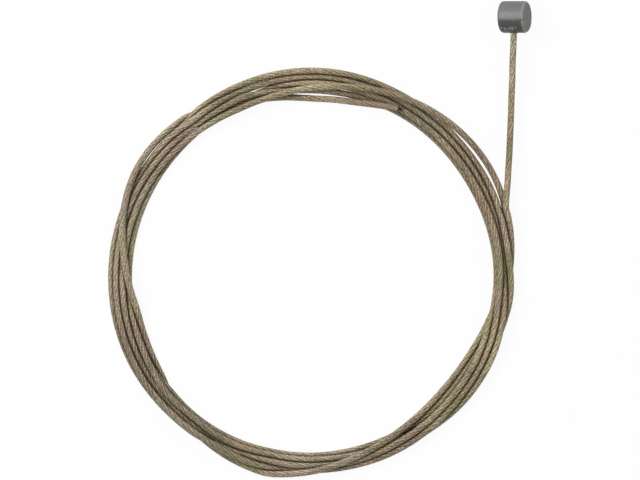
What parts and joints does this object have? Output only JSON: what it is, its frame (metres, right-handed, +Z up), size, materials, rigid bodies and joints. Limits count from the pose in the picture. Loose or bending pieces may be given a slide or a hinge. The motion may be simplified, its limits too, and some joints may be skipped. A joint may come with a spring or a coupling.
{
  "type": "bicycle brake cable",
  "caption": "Inner bicycle brake cable: stranded steel wire coiled flat for storage, with a cast barrel head at one end and a bare cut end.",
  "frame": {"origin": "on the surface that the cable lies on, straight below the middle of the barrel head", "axes": "+Z up, away from that surface; -Y the way the cable leaves the head; +X towards the raised end of the barrel"},
  "size_m": [0.0965, 0.1082, 0.0083],
  "materials": {
    "cast_zinc": "dull grey die-cast zinc, as cast",
    "stranded_steel": "bare drawn steel wires, lightly toned"
  },
  "bodies": {
    "root": {"head": "cast_zinc", "lead": "stranded_steel", "coil": "stranded_steel", "free_end": "stranded_steel"}
  },
  "joints": []
}
